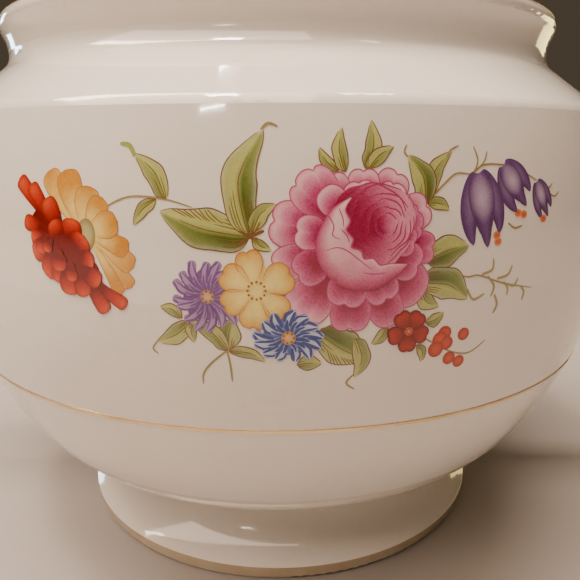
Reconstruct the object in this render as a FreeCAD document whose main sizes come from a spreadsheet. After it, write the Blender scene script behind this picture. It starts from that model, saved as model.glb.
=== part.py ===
import FreeCAD, Part
import math
import os
import re
import Sketcher

# A footed porcelain sugar bowl with two ear handles and a domed lid that lifts off.
# +Z is up. The origin is the centre of the foot ring's standing edge, and the handles lie on X.
# All sizes are in millimetres and degrees.
SIZES = {
    # body: two long arcs meet at the widest height, and a tighter heel arc turns under
    "belly_radius": 55.5,
    "belly_height": 48.5,
    "lower_sweep": 48.3,
    "upper_sweep": 86.3,
    "heel_height": 19.8,
    "heel_sweep": 21.7,
    "wall": 3.2,
    # shoulder, collar neck and rolled lip
    "shoulder_height": 69.0,
    "shoulder_slope": 38.2,
    "shoulder_round": 1.8,
    "inner_shoulder_drop": 1.3,
    "neck_radius": 44.4,
    "neck_sweep": 3.2,
    "flare_sweep": 6.5,
    "flare_rise": 3.2,
    "lip_round": 1.35,
    "inner_round": 3.0,
    # seat for the lid inside the lip
    "seat_height": 78.8,
    "throat_radius": 41.2,
    # foot ring
    "foot_radius": 36.9,
    "foot_edge_radius": 37.2,
    "foot_edge_height": 2.3,
    "foot_edge_round": 0.6,
    "foot_top_radius": 31.3,
    "foot_sweep": 11.0,
    "foot_inner_radius": 33.4,
    "foot_inner_sweep": 16.0,
    # handles: the centre line rises from the wall, goes over a crown and comes back under
    "handle_root_reach": 49.0,
    "handle_rise": 24.0,
    "handle_reach": 75.5,
    "handle_side_height": 52.9,
    "handle_crown_sweep": 10.5,
    "handle_tail_sweep": 14.5,
    "handle_tail_turn": 80.0,
    "handle_width": 7.2,
    "handle_thickness": 5.2,
    "handle_stripe": 1.8,
    "handle_stripe_gap": 1.0,
    # lid
    "lid_radius": 42.3,
    "lid_gap": 0.05,
    "lid_edge": 2.2,
    "lid_wall": 2.8,
    "lid_rise": 13.6,
    "flange_radius": 40.7,
    "flange_wall": 2.4,
    "flange_depth": 5.2,
    # knob
    "knob_foot_radius": 6.6,
    "knob_foot_sweep": 3.6,
    "knob_neck_radius": 4.0,
    "knob_neck_height": 98.4,
    "knob_radius": 9.4,
    "knob_height": 104.6,
    "knob_under_sweep": 6.8,
    "knob_over_sweep": 9.4,
    "knob_cap_radius": 2.6,
    "knob_top": 111.6,
    "knob_button_rise": 0.4,
    # gilding
    "gold": 0.1,
    "belly_line_height": 33.4,
    "belly_line_width": 0.4,
    "foot_band_start": 0.6,
    "rim_line_turn": 50.0,
    "lid_line_inset": 0.2,
    "lid_line_width": 1.4,
}

doc = FreeCAD.newDocument("sugar_bowl")
sheet = doc.addObject("Spreadsheet::Sheet", "Dim")
for row, (name, size) in enumerate(SIZES.items(), start=1):
    sheet.set(f"A{row}", name)
    sheet.set(f"B{row}", str(size))
    sheet.setAlias(f"B{row}", name)
doc.recompute()


def bound(text):
    """Turn a formula of plain size names into an expression that reads the sheet."""
    return re.sub(r"[a-z_]+", lambda word: "Dim." + word[0] if word[0] in SIZES else word[0], text)


def value(text):
    """Work out a formula of size names, in millimetres."""
    result = sheet.evalExpression(bound(text))
    return float(getattr(result, "Value", result))


def origin_feature(body, role):
    """Find one of the body's own origin planes or axes."""
    return next(item for item in body.Origin.OriginFeatures if item.Role == role)


def attach(sketch, body, role):
    """Lie a sketch on one of its body's origin planes."""
    sketch.AttachmentSupport = [(origin_feature(body, role), "")]
    sketch.MapMode = "FlatFace"
    doc.recompute()


class Outline:
    """An outline whose corners and arc radii are all tied to the sheet."""

    def __init__(self, body, name, x, y, role="XZ_Plane"):
        self.sketch = body.newObject("Sketcher::SketchObject", name)
        attach(self.sketch, body, role)
        self.first = (x, y)
        self.last = self.first
        self.ends = []

    def tie(self, constraint, formula):
        """Add a constraint whose size follows a formula."""
        index = self.sketch.addConstraint(constraint)
        self.sketch.setExpression(f"Constraints[{index}]", bound(formula))

    def pin(self, piece, point, place):
        """Fix one end of a line or arc to a corner given by two formulas."""
        for kind, formula, axis in (("DistanceX", place[0], -2), ("DistanceY", place[1], -1)):
            size = value(formula)
            if formula == "0":
                self.sketch.addConstraint(Sketcher.Constraint("PointOnObject", piece, point, axis))
            elif size < 0:
                self.tie(Sketcher.Constraint(kind, piece, point, -1, 1, -size), f"-({formula})")
            else:
                self.tie(Sketcher.Constraint(kind, -1, 1, piece, point, size), formula)

    def join(self, piece, start_point, end_point, place):
        """Chain a new line or arc to the outline."""
        if self.ends:
            before = self.ends[-1]
            self.sketch.addConstraint(
                Sketcher.Constraint("Coincident", before[0], before[2], piece, start_point)
            )
        else:
            self.pin(piece, start_point, self.first)
        self.ends.append((piece, start_point, end_point))
        if place != self.first:
            self.pin(piece, end_point, place)
        else:
            opening = self.ends[0]
            self.sketch.addConstraint(
                Sketcher.Constraint("Coincident", piece, end_point, opening[0], opening[1])
            )
        self.last = place
        return self

    def line(self, x, y):
        """Straight run to a corner."""
        start = FreeCAD.Vector(value(self.last[0]), value(self.last[1]), 0)
        end = FreeCAD.Vector(value(x), value(y), 0)
        piece = self.sketch.addGeometry(Part.LineSegment(start, end), False)
        return self.join(piece, 1, 2, (x, y))

    def arc(self, x, y, radius, turn):
        """Arc to a corner, turning "left" or "right" on the way."""
        start = FreeCAD.Vector(value(self.last[0]), value(self.last[1]), 0)
        end = FreeCAD.Vector(value(x), value(y), 0)
        size = value(radius)
        chord = end - start
        side = 1 if turn == "left" else -1
        across = FreeCAD.Vector(-chord.y, chord.x, 0).normalize() * side
        depth = math.sqrt(size ** 2 - (chord.Length / 2) ** 2)
        centre = (start + end) * 0.5 + across * depth
        first, second = (start, end) if turn == "left" else (end, start)
        angles = [math.atan2(p.y - centre.y, p.x - centre.x) for p in (first, second)]
        if angles[1] < angles[0]:
            angles[1] += 2 * math.pi
        circle = Part.Circle(centre, FreeCAD.Vector(0, 0, 1), size)
        piece = self.sketch.addGeometry(Part.ArcOfCircle(circle, *angles), False)
        ends = (1, 2) if turn == "left" else (2, 1)
        self.join(piece, *ends, (x, y))
        self.tie(Sketcher.Constraint("Radius", piece, size), radius)
        return self

    def close(self):
        """Straight run back to the first corner."""
        self.line(*self.first)
        return self.sketch


def spin(body, name, sketch, kind="PartDesign::Revolution"):
    """Turn an outline a full turn about the bowl's axis."""
    feature = body.newObject(kind, name)
    feature.Profile = sketch
    feature.ReferenceAxis = (sketch, ["V_Axis"])
    feature.Angle = 360
    doc.recompute()
    return feature


def round_edges(body, name, base, corners, radius):
    """Round the circular edges that pass through the given corners (radius, height)."""
    names = []
    for index, edge in enumerate(base.Shape.Edges, start=1):
        if not isinstance(edge.Curve, Part.Circle):
            continue
        centre = edge.Curve.Center
        for reach, height in corners:
            if abs(edge.Curve.Radius - value(reach)) < 0.01 and abs(centre.z - value(height)) < 0.01:
                names.append(f"Edge{index}")
    fillet = body.newObject("PartDesign::Fillet", name)
    fillet.Base = (base, names)
    fillet.setExpression("Radius", bound(radius))
    doc.recompute()
    return fillet


def new_body(name):
    """A part body whose label names its file."""
    body = doc.addObject("PartDesign::Body", name)
    body.Label = name
    body.Placement = FreeCAD.Placement()
    return body


# The wall's arcs, at a given depth below the outer surface.
LOWER_REACH = "sqrt(lower_sweep ^ 2 - (belly_height - heel_height) ^ 2)"
HEEL_SHARE = "(1 - heel_sweep / lower_sweep)"
HEEL_RADIUS = f"(belly_radius - lower_sweep + {LOWER_REACH} * {HEEL_SHARE})"
HEEL_CENTRE = f"(belly_height - (belly_height - heel_height) * {HEEL_SHARE})"
BASE_HEIGHT = f"({HEEL_CENTRE} - heel_sweep)"


def heel_end(depth):
    """Where the heel arc runs into the long lower arc."""
    share = f"(1 - ({depth}) / lower_sweep)"
    reach = f"belly_radius - lower_sweep + {LOWER_REACH} * {share}"
    height = f"belly_height - (belly_height - heel_height) * {share}"
    return reach, height


def lower_wall(depth, height):
    """Radius of the lower wall at a height."""
    sweep = f"(lower_sweep - ({depth}))"
    return f"(belly_radius - lower_sweep + sqrt({sweep} ^ 2 - (belly_height - ({height})) ^ 2))"


def upper_wall(depth, height):
    """Radius of the upper wall at a height."""
    sweep = f"(upper_sweep - ({depth}))"
    return f"(belly_radius - upper_sweep + sqrt({sweep} ^ 2 - (({height}) - belly_height) ^ 2))"


# The shoulder's slope runs up to an arc that is upright at the neck's narrowest height.
SLOPE = "(shoulder_slope * 1 deg)"
SHOULDER_RADIUS = upper_wall("0", "shoulder_height")
SLOPE_END_RADIUS = f"(neck_radius + neck_sweep - neck_sweep * sin({SLOPE}))"
SLOPE_END_HEIGHT = f"(shoulder_height + ({SHOULDER_RADIUS} - {SLOPE_END_RADIUS}) * tan({SLOPE}))"
NECK_HEIGHT = f"({SLOPE_END_HEIGHT} + neck_sweep * cos({SLOPE}))"
# The lip rolls out of the neck's flare, tangent to it.
FLARE_REACH = "sqrt(flare_sweep ^ 2 - flare_rise ^ 2)"
FLARE_END_RADIUS = f"(neck_radius + flare_sweep - {FLARE_REACH})"
FLARE_END_HEIGHT = f"({NECK_HEIGHT} + flare_rise)"
LIP_CENTRE_RADIUS = f"({FLARE_END_RADIUS} - lip_round * {FLARE_REACH} / flare_sweep)"
LIP_CENTRE_HEIGHT = f"({FLARE_END_HEIGHT} + lip_round * flare_rise / flare_sweep)"
LIP_INNER_RADIUS = f"({LIP_CENTRE_RADIUS} - lip_round)"
LIP_TOP = f"({LIP_CENTRE_HEIGHT} + lip_round)"
# Inside, the shoulder's slope runs parallel to the one outside.
INNER_SHOULDER_HEIGHT = "(shoulder_height - inner_shoulder_drop)"
INNER_SHOULDER_RADIUS = upper_wall("wall", INNER_SHOULDER_HEIGHT)
THROAT_HEIGHT = f"({INNER_SHOULDER_HEIGHT} + ({INNER_SHOULDER_RADIUS} - throat_radius) * tan({SLOPE}))"


def make_bowl():
    """The cast body: belly, shoulder, collar neck and rolled lip, with a lid seat inside."""
    body = new_body("bowl")
    outline = Outline(body, "bowl_outline", "0", BASE_HEIGHT)
    outline.line(HEEL_RADIUS, BASE_HEIGHT)
    outline.arc(*heel_end("0"), "heel_sweep", "left")
    outline.arc("belly_radius", "belly_height", "lower_sweep", "left")
    outline.arc(SHOULDER_RADIUS, "shoulder_height", "upper_sweep", "left")
    outline.line(SLOPE_END_RADIUS, SLOPE_END_HEIGHT)
    outline.arc("neck_radius", NECK_HEIGHT, "neck_sweep", "right")
    outline.arc(FLARE_END_RADIUS, FLARE_END_HEIGHT, "flare_sweep", "right")
    outline.arc(LIP_CENTRE_RADIUS, LIP_TOP, "lip_round", "left")
    outline.arc(LIP_INNER_RADIUS, LIP_CENTRE_HEIGHT, "lip_round", "left")
    outline.line(LIP_INNER_RADIUS, "seat_height")
    outline.line("throat_radius", "seat_height")
    outline.line("throat_radius", THROAT_HEIGHT)
    outline.line(INNER_SHOULDER_RADIUS, INNER_SHOULDER_HEIGHT)
    outline.arc("belly_radius - wall", "belly_height", "upper_sweep - wall", "right")
    outline.arc(*heel_end("wall"), "lower_sweep - wall", "right")
    outline.arc(HEEL_RADIUS, f"{BASE_HEIGHT} + wall", "heel_sweep - wall", "right")
    outline.line("0", f"{BASE_HEIGHT} + wall")
    turned = spin(body, "bowl_turned", outline.close())
    shoulder = [(SHOULDER_RADIUS, "shoulder_height")]
    inside = [(INNER_SHOULDER_RADIUS, INNER_SHOULDER_HEIGHT), ("throat_radius", THROAT_HEIGHT)]
    softened = round_edges(body, "bowl_shoulder", turned, shoulder, "shoulder_round")
    round_edges(body, "bowl_inner_shoulder", softened, inside, "inner_round")
    return body


def make_foot_ring():
    """The flared foot: its top follows the underside of the body."""
    body = new_body("foot_ring")
    top = f"({HEEL_CENTRE} - sqrt(heel_sweep ^ 2 - (foot_top_radius - {HEEL_RADIUS}) ^ 2))"
    outline = Outline(body, "foot_outline", "foot_inner_radius", "0")
    outline.line("foot_radius - foot_edge_round", "0")
    outline.arc("foot_radius", "foot_edge_round", "foot_edge_round", "left")
    outline.line("foot_edge_radius", "foot_edge_height")
    outline.arc("foot_top_radius", top, "foot_sweep", "right")
    outline.arc(HEEL_RADIUS, BASE_HEIGHT, "heel_sweep", "right")
    outline.arc("foot_inner_radius", "0", "foot_inner_sweep", "left")
    spin(body, "foot_turned", outline.sketch)
    return body


# The handle's centre line, from its root in the shoulder round to its tail in the belly.
RISE = "(handle_rise * 1 deg)"
TAIL_TURN = "(handle_tail_turn * 1 deg)"
CROWN_START = (
    f"(handle_reach - handle_crown_sweep - handle_crown_sweep * sin({RISE}))",
    f"(handle_side_height + handle_crown_sweep * cos({RISE}))",
)
ROOT_HEIGHT = f"({CROWN_START[1]} - ({CROWN_START[0]} - handle_root_reach) * tan({RISE}))"
TAIL_START = (
    f"(handle_reach - handle_tail_sweep + handle_tail_sweep * cos({TAIL_TURN}))",
    f"(handle_side_height - handle_tail_sweep * sin({TAIL_TURN}))",
)
TAIL_HEIGHT = f"({TAIL_START[1]} - ({TAIL_START[0]} - handle_root_reach) / tan({TAIL_TURN}))"


def handle_path(body):
    """The handle's centre line: out of the shoulder, round, and back in to the belly."""
    path = Outline(body, body.Label + "_path", "handle_root_reach", ROOT_HEIGHT)
    path.line(*CROWN_START)
    path.arc("handle_reach", "handle_side_height", "handle_crown_sweep", "right")
    path.arc(*TAIL_START, "handle_tail_sweep", "right")
    path.line("handle_root_reach", TAIL_HEIGHT)
    return path.sketch


def square_to_path(section):
    """Stand a section upright at the handle's root, square to the centre line."""
    section.AttachmentOffset = FreeCAD.Placement(
        FreeCAD.Vector(0, value(ROOT_HEIGHT), value("handle_root_reach")),
        FreeCAD.Rotation(FreeCAD.Vector(-1, 0, 0), value("handle_rise")),
    )
    section.setExpression("AttachmentOffset.Base.y", bound(ROOT_HEIGHT))
    section.setExpression("AttachmentOffset.Base.z", bound("handle_root_reach"))
    section.setExpression("AttachmentOffset.Rotation.Angle", bound("handle_rise"))
    doc.recompute()


def sweep(body, name, section):
    """Carry a section along the handle's centre line."""
    pipe = body.newObject("PartDesign::AdditivePipe", name)
    pipe.Profile = section
    pipe.Spine = (handle_path(body), [])
    pipe.Mode = "Standard"
    doc.recompute()
    return pipe


def clear_of_wall(body, name, gap="0"):
    """Cut away what would lie inside the bowl or within a gap of its wall."""
    low_radius, low_height = heel_end(f"-{gap}")
    high_radius = upper_wall(f"-{gap}", "shoulder_height")
    outline = Outline(body, name + "_outline", "0", low_height)
    outline.line(low_radius, low_height)
    outline.arc(f"belly_radius + {gap}", "belly_height", f"lower_sweep + {gap}", "left")
    outline.arc(high_radius, "shoulder_height", f"upper_sweep + {gap}", "left")
    outline.line("0", "shoulder_height")
    return spin(body, name, outline.close(), "PartDesign::Groove")


def make_handle(name, turn):
    """One ear handle, an oval section along the centre line."""
    body = new_body(name)
    section = body.newObject("Sketcher::SketchObject", name + "_section")
    attach(section, body, "YZ_Plane")
    square_to_path(section)
    oval = Part.Ellipse(FreeCAD.Vector(), value("handle_width") / 2, value("handle_thickness") / 2)
    section.addGeometry(oval, False)
    section.exposeInternalGeometry(0)
    section.addConstraint(Sketcher.Constraint("Coincident", 0, 3, -1, 1))
    section.addConstraint(Sketcher.Constraint("Horizontal", 1))
    for axis, size in ((1, "handle_width"), (2, "handle_thickness")):
        index = section.addConstraint(Sketcher.Constraint("Distance", axis, value(size)))
        section.setExpression(f"Constraints[{index}]", bound(size))
    sweep(body, name + "_swept", section)
    clear_of_wall(body, name + "_roots")
    body.Placement = FreeCAD.Placement(FreeCAD.Vector(), FreeCAD.Rotation(turn, 0, 0))
    return body


def make_handle_gold(name, turn):
    """A gilded stripe along the outer side of a handle, ending just clear of the wall."""
    body = new_body(name)
    crown = "((handle_width / 2) ^ 2 / (handle_thickness / 2))"
    drop = f"({crown} - sqrt({crown} ^ 2 - (handle_stripe / 2) ^ 2))"
    under = f"(handle_thickness / 2 - {drop})"
    outline = Outline(body, name + "_section", "-handle_stripe / 2", under, "YZ_Plane")
    square_to_path(outline.sketch)
    outline.line("-handle_stripe / 2", f"{under} + gold")
    outline.arc("handle_stripe / 2", f"{under} + gold", crown, "right")
    outline.line("handle_stripe / 2", under)
    outline.arc("-handle_stripe / 2", under, crown, "left")
    sweep(body, name + "_swept", outline.sketch)
    clear_of_wall(body, name + "_roots", "handle_stripe_gap")
    body.Placement = FreeCAD.Placement(FreeCAD.Vector(), FreeCAD.Rotation(turn, 0, 0))
    return body


# The lid's dome is one arc from the brim's edge to the axis.
BRIM_UNDER = "(seat_height + lid_gap)"
BRIM_TOP = f"({BRIM_UNDER} + lid_edge)"
DOME_START = "(lid_radius - lid_edge / 2)"
DOME_SWEEP = f"(({DOME_START} ^ 2 + lid_rise ^ 2) / (2 * lid_rise))"
DOME_CENTRE = f"({BRIM_TOP} + lid_rise - {DOME_SWEEP})"


def dome(depth, reach):
    """Height of the dome's surface, at a depth below the top and at a radius."""
    return f"({DOME_CENTRE} + sqrt(({DOME_SWEEP} - ({depth})) ^ 2 - ({reach}) ^ 2))"


def make_lid():
    """The domed lid, with a brim that rests on the seat and a flange that keeps it centred."""
    body = new_body("lid")
    inner = "(flange_radius - flange_wall)"
    flange_end = f"({BRIM_UNDER} - flange_depth)"
    outline = Outline(body, "lid_outline", "0", dome("lid_wall", "0"))
    outline.arc(inner, dome("lid_wall", inner), f"{DOME_SWEEP} - lid_wall", "right")
    outline.line(inner, f"{flange_end} + flange_wall / 2")
    outline.arc(f"{inner} + flange_wall / 2", flange_end, "flange_wall / 2", "left")
    outline.arc("flange_radius", f"{flange_end} + flange_wall / 2", "flange_wall / 2", "left")
    outline.line("flange_radius", BRIM_UNDER)
    outline.line(DOME_START, BRIM_UNDER)
    outline.arc("lid_radius", f"{BRIM_UNDER} + lid_edge / 2", "lid_edge / 2", "left")
    outline.arc(DOME_START, BRIM_TOP, "lid_edge / 2", "left")
    outline.arc("0", f"{BRIM_TOP} + lid_rise", DOME_SWEEP, "left")
    spin(body, "lid_turned", outline.close())
    return body


# The button on top of the knob is a cap of a ball centred on the axis.
BUTTON_EDGE = "(knob_top - knob_button_rise)"
BUTTON_SWEEP = "((knob_cap_radius ^ 2 + knob_button_rise ^ 2) / (2 * knob_button_rise))"


def make_lid_knob():
    """A flattened ball on a waisted stem, standing on the dome."""
    body = new_body("lid_knob")
    outline = Outline(body, "knob_outline", "0", dome("0", "0"))
    outline.arc("knob_foot_radius", dome("0", "knob_foot_radius"), DOME_SWEEP, "right")
    outline.arc("knob_neck_radius", "knob_neck_height", "knob_foot_sweep", "right")
    outline.arc("knob_radius", "knob_height", "knob_under_sweep", "left")
    outline.arc("knob_cap_radius", BUTTON_EDGE, "knob_over_sweep", "left")
    outline.arc("0", "knob_top", BUTTON_SWEEP, "left")
    spin(body, "knob_turned", outline.close())
    return body


def make_rim_gold_line():
    """Gilding over the crest of the lip."""
    body = new_body("rim_gold_line")
    tilt = "(rim_line_turn * 1 deg)"
    inner = (f"{LIP_CENTRE_RADIUS} - lip_round * sin({tilt})", f"{LIP_CENTRE_HEIGHT} + lip_round * cos({tilt})")
    outer = (f"{LIP_CENTRE_RADIUS} + lip_round * sin({tilt})", inner[1])
    size = "(lip_round + gold)"
    above_outer = (f"{LIP_CENTRE_RADIUS} + {size} * sin({tilt})", f"{LIP_CENTRE_HEIGHT} + {size} * cos({tilt})")
    above_inner = (f"{LIP_CENTRE_RADIUS} - {size} * sin({tilt})", above_outer[1])
    outline = Outline(body, "rim_gold_outline", *inner)
    outline.arc(*outer, "lip_round", "right")
    outline.line(*above_outer)
    outline.arc(*above_inner, size, "left")
    spin(body, "rim_gold_turned", outline.close())
    return body


def make_belly_gold_line():
    """A thin gilded line round the lower belly."""
    body = new_body("belly_gold_line")
    low = "belly_line_height - belly_line_width / 2"
    high = "belly_line_height + belly_line_width / 2"
    outline = Outline(body, "belly_gold_outline", lower_wall("0", low), low)
    outline.line(lower_wall("-gold", low), low)
    outline.arc(lower_wall("-gold", high), high, "lower_sweep + gold", "left")
    outline.line(lower_wall("0", high), high)
    outline.arc(lower_wall("0", low), low, "lower_sweep", "right")
    spin(body, "belly_gold_turned", outline.sketch)
    return body


def make_foot_gold_band():
    """The gilded outer edge of the foot."""
    body = new_body("foot_gold_band")
    outline = Outline(body, "foot_gold_outline", "foot_radius", "foot_band_start")
    outline.line("foot_radius + gold", "foot_band_start")
    outline.line("foot_edge_radius + gold", "foot_edge_height")
    outline.line("foot_edge_radius", "foot_edge_height")
    spin(body, "foot_gold_turned", outline.close())
    return body


def make_lid_gold_line():
    """A gilded line on the dome, just inside the lid's rounded edge."""
    body = new_body("lid_gold_line")
    outer = f"({DOME_START} - lid_line_inset)"
    inner = f"({outer} - lid_line_width)"
    outline = Outline(body, "lid_gold_outline", inner, dome("0", inner))
    outline.arc(outer, dome("0", outer), DOME_SWEEP, "right")
    outline.line(outer, dome("-gold", outer))
    outline.arc(inner, dome("-gold", inner), f"{DOME_SWEEP} + gold", "left")
    spin(body, "lid_gold_turned", outline.close())
    return body


def make_knob_gold_cap():
    """The gilded button on top of the knob."""
    body = new_body("knob_gold_cap")
    outline = Outline(body, "knob_gold_outline", "0", "knob_top")
    outline.arc("knob_cap_radius", BUTTON_EDGE, BUTTON_SWEEP, "right")
    outline.line("knob_cap_radius", f"{BUTTON_EDGE} + gold")
    outline.arc("0", "knob_top + gold", BUTTON_SWEEP, "left")
    spin(body, "knob_gold_turned", outline.close())
    return body


def build():
    """Make every piece, in the order in which a potter would put them together."""
    return [
        make_bowl(),
        make_foot_ring(),
        make_handle("handle_right", 0),
        make_handle("handle_left", 180),
        make_lid(),
        make_lid_knob(),
        make_rim_gold_line(),
        make_belly_gold_line(),
        make_foot_gold_band(),
        make_handle_gold("handle_gold_right", 0),
        make_handle_gold("handle_gold_left", 180),
        make_lid_gold_line(),
        make_knob_gold_cap(),
    ]


def check(bodies):
    """Stop if any object failed to compute or any piece isn't one valid solid."""
    for item in doc.Objects:
        if "Invalid" in item.State or "Error" in item.State:
            raise RuntimeError(f"{item.Label}: {item.State}")
    for body in bodies:
        shape = body.Shape
        if shape.isNull() or not shape.isValid() or len(shape.Solids) != 1:
            raise RuntimeError(f"{body.Label}: not one valid solid")


pieces = build()
doc.recompute()
check(pieces)
os.makedirs("parts", exist_ok=True)
for piece in pieces:
    piece.Shape.exportStep(f"parts/{piece.Label}.step")
    box = piece.Shape.optimalBoundingBox(False, False)
    spans = f"x {box.XMin:.2f} to {box.XMax:.2f}, z {box.ZMin:.2f} to {box.ZMax:.2f}"
    print(f"{piece.Label}: volume {piece.Shape.Volume:.1f}, {spans}")
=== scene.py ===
import math
import random

import bpy
from mathutils import Matrix, Vector


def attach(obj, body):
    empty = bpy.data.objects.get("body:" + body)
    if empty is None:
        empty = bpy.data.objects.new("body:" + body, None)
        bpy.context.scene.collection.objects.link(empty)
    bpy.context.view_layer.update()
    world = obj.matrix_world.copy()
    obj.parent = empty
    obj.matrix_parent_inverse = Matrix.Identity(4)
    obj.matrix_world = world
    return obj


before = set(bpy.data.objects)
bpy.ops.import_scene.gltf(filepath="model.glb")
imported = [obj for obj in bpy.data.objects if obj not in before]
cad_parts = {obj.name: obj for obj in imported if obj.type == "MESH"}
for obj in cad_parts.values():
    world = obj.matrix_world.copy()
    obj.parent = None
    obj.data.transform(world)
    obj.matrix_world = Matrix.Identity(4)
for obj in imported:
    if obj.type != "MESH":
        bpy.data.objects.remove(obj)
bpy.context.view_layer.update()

# Lengths below are in millimetres, and become metres only as a mesh is made.
MM = 0.001
BODY, LID = "bowl_body", "lid_body"

# The bowl's outer wall, as the CAD has it: two long arcs that meet at the widest height.
WIDEST_HEIGHT = 48.5
BELLY_RADIUS = 55.5
LOWER_SWEEP = 48.3
UPPER_SWEEP = 86.3


def wall_radius(height):
    """Radius of the outer wall at a height."""
    sweep = LOWER_SWEEP if height < WIDEST_HEIGHT else UPPER_SWEEP
    return BELLY_RADIUS - sweep + math.sqrt(sweep ** 2 - (height - WIDEST_HEIGHT) ** 2)


# ---------------------------------------------------------------- materials

def colour(red, green, blue):
    """A linear colour from the usual 0 to 255 numbers."""
    def linear(part):
        part /= 255
        return part / 12.92 if part <= 0.04045 else ((part + 0.055) / 1.055) ** 2.4
    return (linear(red), linear(green), linear(blue), 1.0)


def mixed(one, other, share):
    """A colour between two others."""
    share = min(max(share, 0.0), 1.0)
    return tuple(a + (b - a) * share for a, b in zip(one, other))


class Nodes:
    """A material's node tree, with short ways to add to it."""

    def __init__(self, name):
        self.material = bpy.data.materials.new(name)
        self.material.use_nodes = True
        self.tree = self.material.node_tree
        self.shader = self.tree.nodes["Principled BSDF"]
        self.place = self.tree.nodes.new("ShaderNodeTexCoord").outputs["Object"]

    def add(self, kind, **settings):
        """A new shader node of a kind."""
        node = self.tree.nodes.new("ShaderNode" + kind)
        for key, setting in settings.items():
            setattr(node, key, setting)
        return node

    def link(self, source, target):
        self.tree.links.new(source, target)

    def noise(self, size, detail=3.0, rough=0.5):
        """Noise whose grain is about size mm."""
        node = self.add("TexNoise")
        node.inputs["Scale"].default_value = 1 / (size * MM)
        node.inputs["Detail"].default_value = detail
        node.inputs["Roughness"].default_value = rough
        self.link(self.place, node.inputs["Vector"])
        return node.outputs["Fac"]

    def spread(self, source, low, high, to_low=0.0, to_high=1.0):
        """Stretch a value's range, smoothly and with both ends held."""
        node = self.add("MapRange", interpolation_type="SMOOTHSTEP")
        for key, number in zip(("From Min", "From Max", "To Min", "To Max"), (low, high, to_low, to_high)):
            node.inputs[key].default_value = number
        self.link(source, node.inputs["Value"])
        return node.outputs["Result"]

    def blend(self, share, one, other):
        """A colour mix, each side a colour or an output."""
        node = self.add("Mix", data_type="RGBA")
        self.link(share, node.inputs["Factor"])
        for socket, side in ((node.inputs[6], one), (node.inputs[7], other)):
            if isinstance(side, tuple):
                socket.default_value = side
            else:
                self.link(side, socket)
        return node.outputs[2]

    def bump(self, height, depth):
        """Bump of depth mm."""
        node = self.add("Bump")
        node.inputs["Distance"].default_value = depth * MM
        self.link(height, node.inputs["Height"])
        self.link(node.outputs["Normal"], self.shader.inputs["Normal"])

    def set(self, **numbers):
        """Set the shader's own sockets, each named with _ for a space."""
        for key, number in numbers.items():
            self.shader.inputs[key.replace("_", " ")].default_value = number


GLAZE = colour(238, 232, 222)


def porcelain_material():
    """White porcelain under a clear glaze, with faint warm clouding and a slightly uneven coat."""
    m = Nodes("porcelain_glaze")
    clouds = m.spread(m.noise(16, 4), 0.35, 0.65)
    fine = m.spread(m.noise(1.2, 3), 0.3, 0.7)
    body = m.blend(clouds, colour(243, 236, 226), colour(238, 229, 217))
    m.link(m.blend(fine, body, colour(240, 233, 223)), m.shader.inputs["Base Color"])
    m.link(m.spread(m.noise(3, 2), 0.3, 0.7, 0.07, 0.12), m.shader.inputs["Roughness"])
    m.bump(m.noise(6, 1), 0.008)
    m.set(Coat_Weight=0.6, Coat_Roughness=0.03, IOR=1.5)
    return m.material


def gold_nodes(name, light, dark):
    """Burnished gold, fired on by hand: its nodes, and its tone with soft brush marks."""
    m = Nodes(name)
    m.link(m.spread(m.noise(0.9, 3), 0.3, 0.7, 0.14, 0.24), m.shader.inputs["Roughness"])
    m.bump(m.noise(0.5, 2), 0.003)
    return m, m.blend(m.spread(m.noise(3.5, 3), 0.3, 0.75), light, dark)


def gilding_material():
    """Gold that is rubbed thin in a few places."""
    m, tone = gold_nodes("worn_gilding", colour(237, 212, 164), colour(219, 187, 137))
    rubbed = m.spread(m.noise(2.2, 4, 0.6), 0.68, 0.82)
    m.link(m.blend(rubbed, tone, colour(222, 206, 174)), m.shader.inputs["Base Color"])
    m.link(m.spread(rubbed, 0, 1, 0.97, 0.5), m.shader.inputs["Metallic"])
    return m.material


def pale_lit_foot_gilding_material():
    """The foot's gold: paler than the rest, as a painted reflection of the bright floor and light on it."""
    # Painted reflection: these pale gold tones stand in for the light that the foot's gold reflects.
    m, tone = gold_nodes("pale_lit_foot_gilding", colour(250, 238, 214), colour(240, 222, 190))
    m.link(tone, m.shader.inputs["Base Color"])
    m.set(Metallic=0.97)
    return m.material


def enamel_material():
    """Printed and hand-tinted enamel. The colour is painted on the mesh, and alpha says how much
    the print's fine dots and brush marks show."""
    m = Nodes("print_enamel")
    paint = m.add("VertexColor", layer_name="paint")
    dots = m.spread(m.noise(0.17, 1), 0.46, 0.62)
    brush = m.spread(m.noise(1.3, 4, 0.6), 0.3, 0.7)
    darker = m.add("HueSaturation")
    darker.inputs["Saturation"].default_value = 1.15
    darker.inputs["Value"].default_value = 0.72
    m.link(paint.outputs["Color"], darker.inputs["Color"])
    marks = m.add("Math", operation="MULTIPLY")
    m.link(dots, marks.inputs[0])
    m.link(paint.outputs["Alpha"], marks.inputs[1])
    dotted = m.blend(marks.outputs[0], paint.outputs["Color"], darker.outputs["Color"])
    lighter = m.add("HueSaturation")
    lighter.inputs["Value"].default_value = 1.12
    m.link(dotted, lighter.inputs["Color"])
    m.link(m.blend(brush, dotted, lighter.outputs["Color"]), m.shader.inputs["Base Color"])
    m.link(m.spread(m.noise(0.8, 2), 0.3, 0.7, 0.10, 0.20), m.shader.inputs["Roughness"])
    m.bump(m.noise(0.4, 2), 0.004)
    m.set(Coat_Weight=0.4, Coat_Roughness=0.05)
    return m.material


def floor_material():
    """Plain pale card."""
    m = Nodes("pale_floor")
    card = m.blend(m.noise(60, 3), colour(166, 158, 151), colour(159, 151, 145))
    m.link(card, m.shader.inputs["Base Color"])
    m.set(Roughness=0.6)
    return m.material


porcelain = porcelain_material()
gilding = gilding_material()
pale_lit_foot_gilding = pale_lit_foot_gilding_material()
enamel = enamel_material()


# ---------------------------------------------------------------- printed films

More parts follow.
